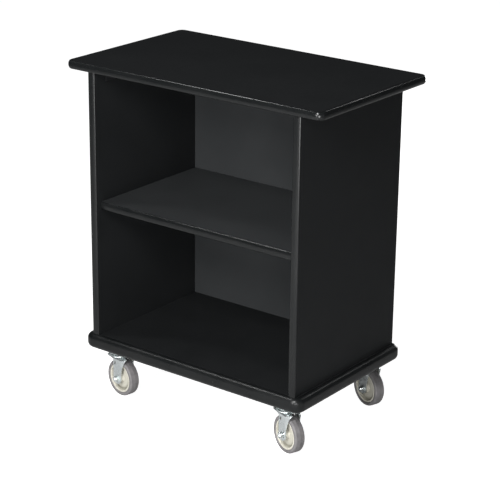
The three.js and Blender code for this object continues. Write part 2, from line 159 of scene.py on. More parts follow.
moulded_grain = moulded_grain_group()
handling_marks = handling_marks_group()


def place_group(tree, group, values):
    """Places a shared node group in a material and gives it that material's values."""
    node = tree.nodes.new("ShaderNodeGroup")
    node.node_tree = group
    for socket, value in values.items():
        node.inputs[socket].default_value = value
    return node


def mix_colours(tree, factor, first, second):
    """A mix of two colours or sockets: first where the factor is 0, second where it is 1."""
    first, second = (
        colour if isinstance(colour, bpy.types.NodeSocket) else (*colour, 1.0)
        for colour in (first, second)
    )
    node = add_node(tree, "ShaderNodeMix", {0: factor, 6: first, 7: second}, data_type="RGBA")
    return node.outputs[2]


def new_finish(name, specular, metallic=0.0):
    """An empty Principled material with its plain numbers on the shader's own sockets."""
    finish = bpy.data.materials.new(name)
    finish.use_nodes = True
    shader = finish.node_tree.nodes["Principled BSDF"]
    shader.inputs["Metallic"].default_value = metallic
    shader.inputs["Specular IOR Level"].default_value = specular
    return finish, finish.node_tree, shader


def moulded_finish(name, sizes, tones, roughness, relief, specular=0.5, metallic=0.0,
                   flecks=None, marks=None):
    """A finish that clouds between two tones and two roughnesses, with a fine grain in relief.

    The sizes are the grain's and the mottling's. Sizes and relief are in metres. Flecks are
    (amount, colour) and marks are (size, amount, colour)."""
    finish, tree, shader = new_finish(name, specular, metallic)
    grain = place_group(tree, moulded_grain, {"Grain Size": sizes[0], "Mottle Size": sizes[1]})
    colour = mix_colours(tree, spread(tree, grain.outputs["Mottle"], 0.0, 1.0), *tones)
    if flecks:
        amount, tone = flecks
        colour = mix_colours(tree, spread(tree, grain.outputs["Grain"], 0.0, amount), colour, tone)
    if marks:
        size, amount, tone = marks
        worn = place_group(tree, handling_marks, {"Mark Size": size, "Amount": amount})
        colour = mix_colours(tree, worn.outputs["Marks"], colour, tone)
    tree.links.new(colour, shader.inputs["Base Color"])
    tree.links.new(spread(tree, grain.outputs["Mottle"], *roughness), shader.inputs["Roughness"])
    bump = add_node(tree, "ShaderNodeBump", {
        "Height": grain.outputs["Grain"], "Distance": relief, "Strength": 1.0})
    tree.links.new(bump.outputs[0], shader.inputs["Normal"])
    return finish


def laminate_finish(name, tones):
    """Laminate that clouds slowly between two tones."""
    return moulded_finish(
        name,
        sizes=(0.0007, 0.16),
        tones=tones,
        roughness=(0.49, 0.58),
        relief=0.00003,
        specular=0.12,
        flecks=(0.3, (0.024, 0.025, 0.026)),
        marks=(0.06, 0.35, (0.045, 0.045, 0.047)),
    )


CHARCOAL_TONES = ((0.0062, 0.0068, 0.0072), (0.0086, 0.0093, 0.0098))
# Painted light: a lighter copy of the charcoal laminate, for the front light on the back and the
# shelf.
PAINTED_LIGHTER_TONES = ((0.0240, 0.0257, 0.0268), (0.0300, 0.0318, 0.0330))
laminates = {
    "outer": laminate_finish("charcoal_laminate", CHARCOAL_TONES),
    "inner": laminate_finish("painted_lighter_laminate", PAINTED_LIGHTER_TONES),
}
for board, face in LAMINATE_BOARDS.items():
    materials = frame["nodes"][board].data.materials
    materials.clear()
    materials.append(laminates[face])


# --------------------------------------
# Edge trims: extruded PVC T-moulding, rounded on its face, pressed by its stem into a slot in the
# board's edge. One length runs round the top with its butt joint at the rear; straight lengths
# cover the front and rear edges of the sides and the front edge of the shelf.

STEM_WIDTH = 0.0024
STEM_DEPTH = 0.008
BACK_SOFTNESS = 0.15
BUTT_GAP = 0.0006
ARC_STEPS = 10
SIDE_TRIM_ROUND = 0.005
TOP_TRIM_WALL = 0.007
TOP_TRIM_ROUND = 0.006
TRIM_RISE = 0.0105
TOP_CORNER_RADIUS = 0.020
SMOOTH_UP_TO = 35


def arc(centre_a, centre_b, radius, start, end, steps=ARC_STEPS):
    """Points of an arc in degrees, as pairs."""
    angles = [math.radians(start + (end - start) * step / steps) for step in range(steps + 1)]
    return [(centre_a + radius * math.cos(angle), centre_b + radius * math.sin(angle))
            for angle in angles]


def moulding_section(width, wall, rounding, rise):
    """A T-moulding's section as (out, up) pairs: a face rounded over a depth and a rise, and the
    stem behind it."""
    half = width / 2
    soft = rounding * BACK_SOFTNESS
    flat = wall - rounding
    face = [(flat + rounding * a, rise - half + rise * b) for a, b in arc(0, 0, 1, -90, 0)]
    face += [(flat + rounding * a, half - rise + rise * b) for a, b in arc(0, 0, 1, 0, 90)]
    back = [(soft, half), (0, half - soft), (0, STEM_WIDTH / 2)]
    stem = [(-STEM_DEPTH, STEM_WIDTH / 2), (-STEM_DEPTH, -STEM_WIDTH / 2)]
    return face + back + stem + [(0, -STEM_WIDTH / 2), (0, -half + soft), (soft, -half)]


def sweep(section, stations):
    """Sweeps a section along stations of (point, out, up) and closes both ends."""
    made = bmesh.new()
    rings = [
        [made.verts.new(point + out * a + up * b) for a, b in section]
        for point, out, up in stations
    ]
    count = len(section)
    for ring, following in zip(rings, rings[1:]):
        for i in range(count):
            j = (i + 1) % count
            made.faces.new((ring[i], ring[j], following[j], following[i]))
    made.faces.new(rings[0])
    made.faces.new(rings[-1])
    return made


def to_mesh(made, name, matrix=None, sharp=SMOOTH_UP_TO):
    """Built geometry as a mesh, faces outward, smooth but for edges over an angle in degrees."""
    bmesh.ops.recalc_face_normals(made, faces=made.faces)
    mesh = bpy.data.meshes.new(name)
    made.to_mesh(mesh)
    made.free()
    if matrix is not None:
        mesh.transform(matrix)
    mesh.shade_smooth()
    mesh.set_sharp_from_angle(angle=math.radians(sharp))
    return mesh


def new_object(name, data):
    """An object of a mesh, curve, light or camera, put in the scene."""
    made = bpy.data.objects.new(name, data)
    bpy.context.scene.collection.objects.link(made)
    return made


def add_piece(mesh, finish, body, slot, *stands_for):
    """A finished piece: its finish, the body it moves with and its CAD nodes; the slot is not used.
    """
    made = new_object(mesh.name, mesh)
    mesh.materials.clear()
    mesh.materials.append(finish)
    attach(made, body)
    if stands_for:
        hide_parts(*stands_for)


def edge_stations(node, corner_radius, wall):
    """Stations on a moulding's back, round a board with round corners, from rear to rear."""
    low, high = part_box(node)
    middle = (low.z + high.z) / 2
    x, y = high.x - corner_radius, high.y - corner_radius
    inner = corner_radius - wall
    up = Vector((0, 0, 1))
    rear = Vector((0, 1, 0))
    stations = [(Vector((-BUTT_GAP / 2, y + inner, middle)), rear, up)]
    for centre_x, centre_y, start in ((-x, y, 90), (-x, -y, 180), (x, -y, 270), (x, y, 0)):
        for step in range(ARC_STEPS + 1):
            angle = math.radians(start + 90 * step / ARC_STEPS)
            out = Vector((math.cos(angle), math.sin(angle), 0))
            stations.append((Vector((centre_x, centre_y, middle)) + out * inner, out, up))
    stations.append((Vector((BUTT_GAP / 2, y + inner, middle)), rear, up))
    return stations


pvc_trim = moulded_finish(
    "charcoal_pvc_trim",
    sizes=(0.0005, 0.09),
    tones=((0.0050, 0.0056, 0.0058), (0.0070, 0.0076, 0.0078)),
    roughness=(0.17, 0.25),
    relief=0.000008,
    specular=0.3,
)


def add_trim(name, section, stations, node):
    """A length of edge trim along stations, in place of its CAD node."""
    add_piece(to_mesh(sweep(section, stations), name), pvc_trim, "cabinet", "edge_trim", node)


low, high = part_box("top_edge_trim")
section = moulding_section(high.z - low.z, TOP_TRIM_WALL, TOP_TRIM_ROUND, TRIM_RISE)
stations = edge_stations("top_edge_trim", TOP_CORNER_RADIUS, TOP_TRIM_WALL)
add_trim("top_moulding", section, stations, "top_edge_trim")

for side in ("left", "right"):
    for end, out in (("front", Vector((0, -1, 0))), ("rear", Vector((0, 1, 0)))):
        node = f"{side}_{end}_trim"
        board_low, board_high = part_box(f"{side}_side_panel")
        low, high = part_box(node)
        face = low.y if end == "front" else high.y
        back = board_low.y if end == "front" else board_high.y
        section = moulding_section(high.x - low.x, abs(face - back), SIDE_TRIM_ROUND, TRIM_RISE)
        middle = (low.x + high.x) / 2
        stations = [(Vector((middle, back, z)), out, Vector((1, 0, 0))) for z in (low.z, high.z)]
        add_trim(f"{side}_{end}_moulding", section, stations, node)

low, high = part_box("shelf_front_trim")
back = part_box("shelf")[0].y
section = moulding_section(high.z - low.z, back - low.y, SIDE_TRIM_ROUND, TRIM_RISE)
middle = (low.z + high.z) / 2
stations = [(Vector((x, back, middle)), Vector((0, -1, 0)), Vector((0, 0, 1)))
            for x in (low.x, high.x)]
add_trim("shelf_moulding", section, stations, "shelf_front_trim")


# --------------------------------------
# Base bumper: a thick, soft rubber moulding with a full round face, sprung round the 40 mm base
# board to protect walls and door frames. Its two ends butt at the rear.

BUMPER_WALL = 0.017
BUMPER_ROUND = 0.014
BASE_CORNER_RADIUS = 0.028
rubber_bumper = moulded_finish(
    "black_rubber_bumper",
    sizes=(0.0009, 0.07),
    tones=((0.0042, 0.0048, 0.0050), (0.0062, 0.0068, 0.0070)),
    roughness=(0.26, 0.37),
    relief=0.00003,
    specular=0.28,
    marks=(0.035, 0.5, (0.04, 0.04, 0.04)),
)
low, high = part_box("base_bumper")
section = moulding_section(high.z - low.z, BUMPER_WALL, BUMPER_ROUND, BUMPER_ROUND)
bumper = sweep(section, edge_stations("base_bumper", BASE_CORNER_RADIUS, BUMPER_WALL))
add_piece(to_mesh(bumper, "bumper_moulding"), rubber_bumper, "cabinet", "bumper", "base_bumper")


# --------------------------------------
# Shelf pins: turned steel, zinc plated, each with a collar. They are pushed by hand into holes in
# the side panels, two a side, and the shelf rests on them.

LOOP_POINTS = 48
PIN_RADIUS = 0.003
PIN_SOFTNESS = 0.0005
COLLAR_RADIUS = 0.0055
COLLAR_THICKNESS = 0.0015
COLLAR_GAP = 0.0002


def loop_point(radius, angle, height, flats):
    """A point on a circle about Z, or on a polygon that the circle fits inside."""
    if flats:
        share = 2 * math.pi / flats
        radius = radius / math.cos((angle + share / 2) % share - share / 2)
    return radius * math.cos(angle), radius * math.sin(angle), height


def spun(loops, made=None):
    """A body about Z through loops of (radius, height) or (radius, height, flats); it ends on the
    axis or, where the last loop repeats the first, is a ring."""
    made = made or bmesh.new()
    angles = [2 * math.pi * step / LOOP_POINTS for step in range(LOOP_POINTS)]
    rings = []
    for loop in loops:
        radius, height, flats = (*loop, 0)[:3]
        points = angles if radius else [0]
        rings.append([made.verts.new(loop_point(radius, angle, height, flats)) for angle in points])
    if loops[0] == loops[-1]:
        bmesh.ops.delete(made, geom=rings.pop(), context="VERTS")
        rings.append(rings[0])
    for ring, following in zip(rings, rings[1:]):
        for i in range(LOOP_POINTS):
            j = i + 1
            corners = [ring[i % len(ring)], ring[j % len(ring)],
                       following[j % len(following)], following[i % len(following)]]
            made.faces.new(list(dict.fromkeys(corners)))
    return made


def zinc_finish(name, tones, roughness):
    """Zinc plate with a faint spangle and rub marks."""
    return moulded_finish(name, (0.0012, 0.02), tones, roughness, relief=0.00002, metallic=1.0,
                          marks=(0.012, 0.4, (0.36, 0.38, 0.39)))


zinc = zinc_finish("zinc_plate", ((0.66, 0.71, 0.72), (0.80, 0.84, 0.84)), (0.22, 0.36))


def add_metal(made, name, matrix, body, node, finish=zinc, sharp=SMOOTH_UP_TO):
    """A zinc-plated piece, built in its own frame and moved to its place, for a CAD node."""
    add_piece(to_mesh(made, name, matrix, sharp), finish, body, "zinc_steel", node)


for side, inward in (("left", 1), ("right", -1)):
    panel_low, panel_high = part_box(f"{side}_side_panel")
    face = panel_high.x if side == "left" else panel_low.x
    for end in ("front", "rear"):
        node = f"shelf_pin_{end}_{side}"
        low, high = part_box(node)
        buried = abs((low.x if side == "left" else high.x) - face)
        proud = abs((high.x if side == "left" else low.x) - face)
        pin = spun([
            (0, -buried),
            (PIN_RADIUS - PIN_SOFTNESS, -buried),
            (PIN_RADIUS, -buried + PIN_SOFTNESS),
            (PIN_RADIUS, COLLAR_GAP),
            (COLLAR_RADIUS, COLLAR_GAP),
            (COLLAR_RADIUS, COLLAR_THICKNESS - PIN_SOFTNESS / 2),
            (COLLAR_RADIUS - PIN_SOFTNESS / 2, COLLAR_THICKNESS),
            (PIN_RADIUS, COLLAR_THICKNESS),
            (PIN_RADIUS, proud - PIN_SOFTNESS),
            (PIN_RADIUS - PIN_SOFTNESS, proud),
            (0, proud),
        ])
        at = Matrix.Translation((face, (low.y + high.y) / 2, (low.z + high.z) / 2))
        turn = Matrix.Rotation(math.radians(90 * inward), 4, "Y")
        add_metal(pin, f"turned_pin_{end}_{side}", at @ turn, "cabinet", node)


# --------------------------------------
# Base screws: one-piece connector screws, driven up through the base board into the sides, with
# a countersunk head and a hexagon socket that show on the underside.

SOCKET_HALF = 0.002
SOCKET_DEPTH = 0.0024
SCREW_HEAD_EDGE = 0.0004
SCREW_HEAD_RIM = 0.001
SCREW_CONE_END = 0.005
SCREW_RADIUS = 0.0025
SCREW_TIP_LENGTH = 0.006
SCREW_TIP_RADIUS = 0.0007


def standing_on(node):
    """The place at the middle of a CAD node's underside, as a matrix."""
    low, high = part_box(node)
    return Matrix.Translation(((low.x + high.x) / 2, (low.y + high.y) / 2, low.z))


for side in ("left", "right"):
    for end in ("front", "rear"):
        node = f"base_screw_{end}_{side}"
        low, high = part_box(node)
        head = (high.x - low.x) / 2
        length = high.z - low.z
        screw = spun([
            (0, SOCKET_DEPTH),
            (SOCKET_HALF, SOCKET_DEPTH, 6),
            (SOCKET_HALF, 0, 6),
            (head - SCREW_HEAD_EDGE, 0),
            (head, SCREW_HEAD_EDGE),
            (head, SCREW_HEAD_RIM),
            (SCREW_RADIUS, SCREW_CONE_END),
            (SCREW_RADIUS, length - SCREW_TIP_LENGTH),
            (SCREW_TIP_RADIUS, length),
            (0, length),
        ])
        add_metal(screw, f"connector_screw_{end}_{side}", standing_on(node), "cabinet", node)


# --------------------------------------
# Top cleats: two lengths of black painted steel angle in the corners under the top. Pan-head
# screws go through them up into the top and sideways into the side panels.

CLEAT_THICKNESS = 0.0025
CLEAT_BEND = 0.004
CLEAT_TIP_SOFTNESS = 0.3
CLEAT_INNER_BEND = CLEAT_BEND + 0.0005
CLEAT_SCREW_PLACES = (0.12, 0.5, 0.88)
CLEAT_SCREW_REACH = 0.6
CLEAT_SCREW_STAGGER = 0.03


def angle_section(leg, thickness):
    """An angle iron's section as (in from the side, down from the top) pairs, its bend rounded."""
    soft = thickness * CLEAT_TIP_SOFTNESS
    inner_bend = CLEAT_INNER_BEND
    outer = arc(CLEAT_BEND, CLEAT_BEND, CLEAT_BEND, 180, 270, 6)
    inner = arc(inner_bend, inner_bend, inner_bend - thickness, 270, 180, 6)
    flat_tip = [(leg - soft, 0), (leg, soft), (leg, thickness - soft), (leg - soft, thickness)]
    side_tip = [(thickness, leg - soft), (thickness - soft, leg), (soft, leg), (0, leg - soft)]
    return outer + flat_tip + inner + side_tip


powder_coat = moulded_finish(
    "black_powder_coat",
    sizes=(0.0014, 0.05),
    tones=((0.008, 0.008, 0.009), (0.013, 0.013, 0.014)),
    roughness=(0.4, 0.52),
    relief=0.00008,
)
cleat_screws = []
for side, inward in (("left", Vector((1, 0, 0))), ("right", Vector((-1, 0, 0)))):
    low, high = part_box(f"top_cleat_{side}")
    leg = high.z - low.z
    down = Vector((0, 0, -1))
    top_corner = Vector((low.x if side == "left" else high.x, 0, high.z))
    stations = [(top_corner + Vector((0, y, 0)), inward, down) for y in (low.y, high.y)]
    section = angle_section(leg, CLEAT_THICKNESS)
    add_piece(to_mesh(sweep(section, stations), f"steel_angle_{side}"),
              powder_coat, "cabinet", "black_steel", f"top_cleat_{side}")
    reach = leg * CLEAT_SCREW_REACH
    for share in CLEAT_SCREW_PLACES:
        place = top_corner + Vector((0, low.y + (high.y - low.y) * share, 0))
        moved = place + Vector((0, CLEAT_SCREW_STAGGER, 0))
        cleat_screws.append((place + inward * reach + down * CLEAT_THICKNESS, down))
        cleat_screws.append((moved + inward * CLEAT_THICKNESS + down * reach, inward))


# --------------------------------------
# Screw and bolt heads: made once each and set out on points by Geometry Nodes. Pan-head screws
# hold the cleats; hexagon-head screws with washers hold each caster plate to the base.

PLATE_THICKNESS = 0.003
PLATE_HOLES = (0.075, 0.045)
CORNERS = ("front_left", "front_right", "rear_left", "rear_right")
CROWN_TOP = 0.8
CROWN_RISE = 0.12


def head_tree(name):
    """A tree that sets a screw head with a washer on every point, turned to the point's facing."""
    group, start, end = new_group(
        name,
        "GeometryNodeTree",
        {
            "Points": ("NodeSocketGeometry", None),
            "Head Radius": ("NodeSocketFloat", 0.004),
            "Head Height": ("NodeSocketFloat", 0.003),
            "Head Sides": ("NodeSocketInt", 6),
            "Washer Radius": ("NodeSocketFloat", 0.006),
            "Washer Height": ("NodeSocketFloat", 0.0012),
            "Finish": ("NodeSocketMaterial", None),
        },
        {"Heads": "NodeSocketGeometry"},
    )
    given = start.outputs
    radius, height, sides = given["Head Radius"], given["Head Height"], given["Head Sides"]
    washer_height = given["Washer Height"]
    washer = add_node(group, "GeometryNodeMeshCylinder", {
        "Vertices": 32, "Radius": given["Washer Radius"], "Depth": washer_height})
    shank = add_node(group, "GeometryNodeMeshCylinder", {
        "Vertices": sides, "Radius": radius, "Depth": height})
    crown = add_node(group, "GeometryNodeMeshCone", {
        "Vertices": sides,
        "Radius Bottom": radius,
        "Radius Top": arithmetic(group, "MULTIPLY", radius, CROWN_TOP),
        "Depth": arithmetic(group, "MULTIPLY", radius, CROWN_RISE),
    })
    half_washer = arithmetic(group, "MULTIPLY", washer_height, 0.5)
    half_head = arithmetic(group, "MULTIPLY", height, 0.5)
    head_middle = arithmetic(group, "ADD", washer_height, half_head)
    head_top = arithmetic(group, "ADD", washer_height, height)
    join = add_node(group, "GeometryNodeJoinGeometry")
    for shape, middle in ((washer, half_washer), (shank, head_middle), (crown, head_top)):
        lift = add_node(group, "ShaderNodeCombineXYZ", {"Z": middle})
        moved = add_node(group, "GeometryNodeTransform", {
            "Geometry": shape.outputs[0], "Translation": lift.outputs[0]})
        group.links.new(moved.outputs[0], join.inputs[0])
    facing = add_node(group, "GeometryNodeInputNamedAttribute", {"Name": "facing"},
                      data_type="FLOAT_VECTOR")
    turn = add_node(group, "FunctionNodeAlignRotationToVector", {"Vector": facing.outputs[0]},
                    axis="Z")
    spin = add_node(group, "FunctionNodeRandomValue", {"Max": 1.0, "Seed": 7}, data_type="FLOAT")
    angle = add_node(group, "ShaderNodeCombineXYZ", {"Z": spin.outputs[1]})
    spun_turn = add_node(group, "FunctionNodeRotateRotation", {
        "Rotation": turn.outputs[0], "Rotate By": angle.outputs[0]}, rotation_space="LOCAL")
    heads = add_node(group, "GeometryNodeInstanceOnPoints", {
        "Points": given["Points"], "Instance": join.outputs[0], "Rotation": spun_turn.outputs[0]})
    real = add_node(group, "GeometryNodeRealizeInstances", {"Geometry": heads.outputs[0]})
    painted = add_node(group, "GeometryNodeSetMaterial", {
        "Geometry": real.outputs[0], "Material": given["Finish"]})
    group.links.new(painted.outputs[0], end.inputs["Heads"])
    return group


def finished_mesh(carrier):
    """The mesh that an object's modifiers or curve make; the object itself goes."""
    seen = carrier.evaluated_get(bpy.context.evaluated_depsgraph_get())
    made = bpy.data.meshes.new_from_object(seen)
    bpy.data.objects.remove(carrier)
    return made


def run_tree(tree, points, facings, values, name):
    """Runs a Geometry Nodes tree on points and returns the plain mesh it makes."""
    mesh = bpy.data.meshes.new(name)
    mesh.from_pydata([tuple(point) for point in points], [], [])
    attribute = mesh.attributes.new("facing", "FLOAT_VECTOR", "POINT")
    for item, facing in zip(attribute.data, facings):
        item.vector = facing
    carrier = new_object(name, mesh)
    modifier = carrier.modifiers.new("heads", "NODES")
    modifier.node_group = tree
    for item in tree.interface.items_tree:
        if item.in_out == "INPUT" and item.name in values:
            modifier[item.identifier] = values[item.name]
    made = finished_mesh(carrier)
    bpy.data.meshes.remove(mesh)
    made.name = name
    made.shade_smooth()
    made.set_sharp_from_angle(angle=math.radians(SMOOTH_UP_TO))
    return made


screw_heads = head_tree("screw_heads")
pan_head = {"Head Radius": 0.0042, "Head Height": 0.0016, "Head Sides": 24,
            "Washer Radius": 0.0045, "Washer Height": 0.0006, "Finish": zinc}
pan_heads = run_tree(screw_heads, *zip(*cleat_screws), pan_head, "cleat_screw_heads")
add_piece(pan_heads, zinc, "cabinet", "zinc_steel")

plate_bolts = []
for corner in CORNERS:
    low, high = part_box(f"caster_plate_{corner}")
    centre = (low + high) / 2
    for across in (-0.5, 0.5):
        for along in (-0.5, 0.5):
            plate_bolts.append(Vector((
                centre.x + across * PLATE_HOLES[0],
                centre.y + along * PLATE_HOLES[1],
                high.z - PLATE_THICKNESS,
            )))
hexagon_head = {"Head Radius": 0.0062, "Head Height": 0.0042, "Head Sides": 6,
                "Washer Radius": 0.0075, "Washer Height": 0.0014, "Finish": zinc}
facings = [Vector((0, 0, -1))] * len(plate_bolts)
bolt_heads = run_tree(screw_heads, plate_bolts, facings, hexagon_head, "caster_bolt_heads")
add_piece(bolt_heads, zinc, "cabinet", "zinc_steel")


# --------------------------------------
# Caster plates: 3 mm pressed steel, zinc plated, with four bolt holes and the upper ball race
# pressed down from its middle.

PLATE_CORNER = 0.008
PLATE_HOLE_RADIUS = 0.0043
PLATE_EDGE = 0.0004
KINGPIN_HOLE = 0.0061
RACE_FLOOR = 0.0018
RACE_OVERLAP = 0.0002
HOLE_TURN = (360, 15, 23)  # from and to in degrees, and steps: 24 points, clockwise


def outline_points(width, depth, radius, steps=8):
    """A rectangle with round corners as a list of points."""
    x, y = width / 2 - radius, depth / 2 - radius
    return (arc(x, y, radius, 0, 90, steps) + arc(-x, y, radius, 90, 180, steps)
            + arc(-x, -y, radius, 180, 270, steps) + arc(x, -y, radius, 270, 360, steps))


def pressed_plate(outlines, thickness, soft):
    """A flat plate with softened edges: the first outline is its edge, the others are holes."""
    curve = bpy.data.curves.new("plate", "CURVE")
    curve.dimensions = "2D"
    curve.fill_mode = "BOTH"
    curve.extrude = thickness / 2 - soft
    curve.bevel_depth = soft
    curve.bevel_resolution = 2
    curve.offset = -soft
    for outline in outlines:
        spline = curve.splines.new("POLY")
        spline.points.add(len(outline) - 1)
        for point, (x, y) in zip(spline.points, outline):
            point.co = (x, y, 0, 1)
        spline.use_cyclic_u = True
    made = bmesh.new()
    made.from_mesh(finished_mesh(new_object("plate", curve)))
    bmesh.ops.remove_doubles(made, verts=made.verts, dist=1e-6)
    return made


for corner in CORNERS:
    node = f"caster_plate_{corner}"
    low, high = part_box(node)
    outlines = [outline_points(high.x - low.x, high.y - low.y, PLATE_CORNER)]
    outlines += [
        arc(across * PLATE_HOLES[0], along * PLATE_HOLES[1], PLATE_HOLE_RADIUS, *HOLE_TURN)
        for across in (-0.5, 0.5)
        for along in (-0.5, 0.5)
    ]
    outlines.append(arc(0, 0, KINGPIN_HOLE, *HOLE_TURN))
    made = pressed_plate(outlines, PLATE_THICKNESS, PLATE_EDGE)
    depth = high.z - low.z
    bmesh.ops.translate(made, verts=made.verts, vec=(0, 0, depth - PLATE_THICKNESS / 2))
    below = depth - PLATE_THICKNESS + RACE_OVERLAP
    spun([
        (KINGPIN_HOLE, below),
        (0.0295, below),
        (0.0285, below - 0.0010),
        (0.0272, 0.0012),
        (0.0260, 0),
        (0.0180, 0),
        (0.0165, RACE_FLOOR),
        (KINGPIN_HOLE, RACE_FLOOR),
        (KINGPIN_HOLE, below),
    ], made)
    add_metal(made, f"pressed_plate_{corner}", standing_on(node), "cabinet", node)


# --------------------------------------
# Ball rings: hardened steel balls in a pressed retainer, between the plate's race and the fork's.
# The balls are set round the ring by Geometry Nodes.

BALL_RADIUS = 0.0033
BALL_TRACK = 0.0205
BALL_COUNT = 17
RETAINER_INSIDE = 0.0150
RETAINER_OUTSIDE = 0.0243
RETAINER_CORNER = 0.0236
RETAINER_HALF = 0.0008


def ball_tree():
    """A tree that sets a ball on every point."""
    group, start, end = new_group(
        "race_balls",
        "GeometryNodeTree",
        {
            "Points": ("NodeSocketGeometry", None),
            "Ball Radius": ("NodeSocketFloat", BALL_RADIUS),
            "Finish": ("NodeSocketMaterial", None),
        },
        {"Balls": "NodeSocketGeometry"},
    )
    given = start.outputs
    ball = add_node(group, "GeometryNodeMeshUVSphere", {
        "Segments": 16, "Rings": 10, "Radius": given["Ball Radius"]})
    balls = add_node(group, "GeometryNodeInstanceOnPoints", {
        "Points": given["Points"], "Instance": ball.outputs[0]})
    real = add_node(group, "GeometryNodeRealizeInstances", {"Geometry": balls.outputs[0]})
    painted = add_node(group, "GeometryNodeSetMaterial", {
        "Geometry": real.outputs[0], "Material": given["Finish"]})
    group.links.new(painted.outputs[0], end.inputs["Balls"])
    return group


race_balls = ball_tree()
for corner in CORNERS:
    node = f"ball_ring_{corner}"
    low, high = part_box(node)
    centre = (low + high) / 2
    turns = [2 * math.pi * ball / BALL_COUNT for ball in range(BALL_COUNT)]
    track = [centre + Vector((math.cos(turn), math.sin(turn), 0)) * BALL_TRACK for turn in turns]
    balls = run_tree(race_balls, track, [], {"Ball Radius": BALL_RADIUS, "Finish": zinc}, "balls")
    retainer = spun([
        (RETAINER_INSIDE, -RETAINER_HALF),
        (RETAINER_CORNER, -RETAINER_HALF),
        (RETAINER_OUTSIDE, -RETAINER_HALF / 2),
        (RETAINER_OUTSIDE, RETAINER_HALF / 2),
        (RETAINER_CORNER, RETAINER_HALF),
        (RETAINER_INSIDE, RETAINER_HALF),
        (RETAINER_INSIDE, -RETAINER_HALF),
    ])
    made = bmesh.new()
    made.from_mesh(balls)
    made.from_mesh(to_mesh(retainer, "retainer", Matrix.Translation(centre)))
    add_metal(made, f"ball_race_{corner}", None, "cabinet", node)


# --------------------------------------
# Kingpins: steel rivets on which the forks swivel, riveted over at the plate and with a domed
# head under the fork's crown.

KINGPIN_SHANK = 0.0057
KINGPIN_EDGE = 0.0006
DOME_RISE = 0.0028
DOME_RIM = 0.0038
DOME_SEAT = 0.004
DOME_EDGE = 0.0003

for corner in CORNERS:
    node = f"kingpin_{corner}"
    low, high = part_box(node)
    head = (high.x - low.x) / 2
    length = high.z - low.z
    turns = [math.radians(degrees) for degrees in (0, 25, 50, 70, 90)]
    pin = spun([
        *[(head * math.sin(turn), DOME_RISE * (1 - math.cos(turn))) for turn in turns],
        (head, DOME_RIM),
        (head - DOME_EDGE, DOME_SEAT),
        (KINGPIN_SHANK, DOME_SEAT),
        (KINGPIN_SHANK, length - KINGPIN_EDGE),
        (KINGPIN_SHANK - KINGPIN_EDGE, length),
        (0, length),
    ])
    add_metal(pin, f"rivet_{corner}", standing_on(node), "cabinet", node)


# --------------------------------------
# Forks: pressed from one 2.5 mm steel sheet and zinc plated. Two legs come down from a crown;
# the front edge is folded in as a stiffening lip, and the crown carries the lower ball race.

SHEET = 0.0025
FORK_INNER_HALF = 0.020
FORK_CROWN_TOP = 0.1115
FORK_BEND = 0.006
LEG_END_RADIUS = 0.015
FRONT_SHOULDER = 0.088
REAR_SHOULDER = 0.100
CROWN_BACK = -0.024
CROWN_FRONT = 0.046
CROWN_EDGE = FORK_CROWN_TOP - 0.004
BAY_RADIUS = 0.015
FOLD_BEHIND_AXLE = 0.012
FOLD_LEAN = math.tan(math.radians(24))
FOLD_SOFTNESS = 0.0015
AXLE_HOLE = 0.0054
SLOT_RADIUS = 0.0028
SLOT_REACH = 0.0018
SLOT_BEFORE_AXLE = 0.008
SLOT_ABOVE_AXLE = 0.044
CUT_HALF = 0.03
SHEET_EDGE = 0.0004
FORK_RACE = (
    (0.0110, -0.0003),
    (0.0262, -0.0003),
    (0.0258, 0.0015),
    (0.0248, 0.0025),
    (0.0165, 0.0025),
    (0.0155, 0.0012),
    (0.0110, 0.0012),
    (0.0110, -0.0003),
)

hinges = {joint["name"]: joint for joint in frame["record"]["behaviour"]["joints"]}


def swivel_matrix(corner):
    """From a caster's own frame, wheel behind the kingpin along +X, to the cabinet's frame."""
    along = Vector(hinges[f"roll_{corner}"]["axis"])
    back = along.cross(Vector((0, 0, 1)))
    turn = Matrix((back, along, Vector((0, 0, 1)))).transposed().to_4x4()
    kingpin = Vector(hinges[f"swivel_{corner}"]["pos_m"])
    return Matrix.Translation((kingpin.x, kingpin.y, 0)) @ turn


def axle_matrix(corner):
    """From a frame about a wheel's axle, +Z out of the nut's side, to the cabinet's frame."""
    axle = Vector(hinges[f"roll_{corner}"]["pos_m"])
    turn = swivel_matrix(corner).to_3x3().to_4x4() @ Matrix.Rotation(math.radians(90), 4, "X")
    return Matrix.Translation(axle) @ turn


def trail_of(corner):
    """How far a wheel's axle lies behind its kingpin, and how high."""
    axle = Vector(hinges[f"roll_{corner}"]["pos_m"])
    kingpin = Vector(hinges[f"swivel_{corner}"]["pos_m"])
    return (axle - kingpin).to_2d().length, axle.z


def leg_edges(trail, axle_height, z):
    """The fork's rear and front edge at a height, as distances behind the kingpin."""
    if z < axle_height:
        half = math.sqrt(LEG_END_RADIUS ** 2 - (axle_height - z) ** 2)
        return trail - half, trail + half
    rear, front = trail - LEG_END_RADIUS, trail + LEG_END_RADIUS
    level = min(z, CROWN_EDGE)
    bow = axle_height - 2 * FRONT_SHOULDER + CROWN_EDGE
    rise = 2 * (FRONT_SHOULDER - axle_height)
    share = (-rise + math.sqrt(rise ** 2 - 4 * bow * (axle_height - level))) / (2 * bow)
    front += (CROWN_FRONT - front) * share ** 2
    if level > REAR_SHOULDER:
        share = math.sqrt((CROWN_EDGE - level) / (CROWN_EDGE - REAR_SHOULDER))
        rear += (CROWN_BACK - rear) * (1 - share) ** 2
    return rear, front


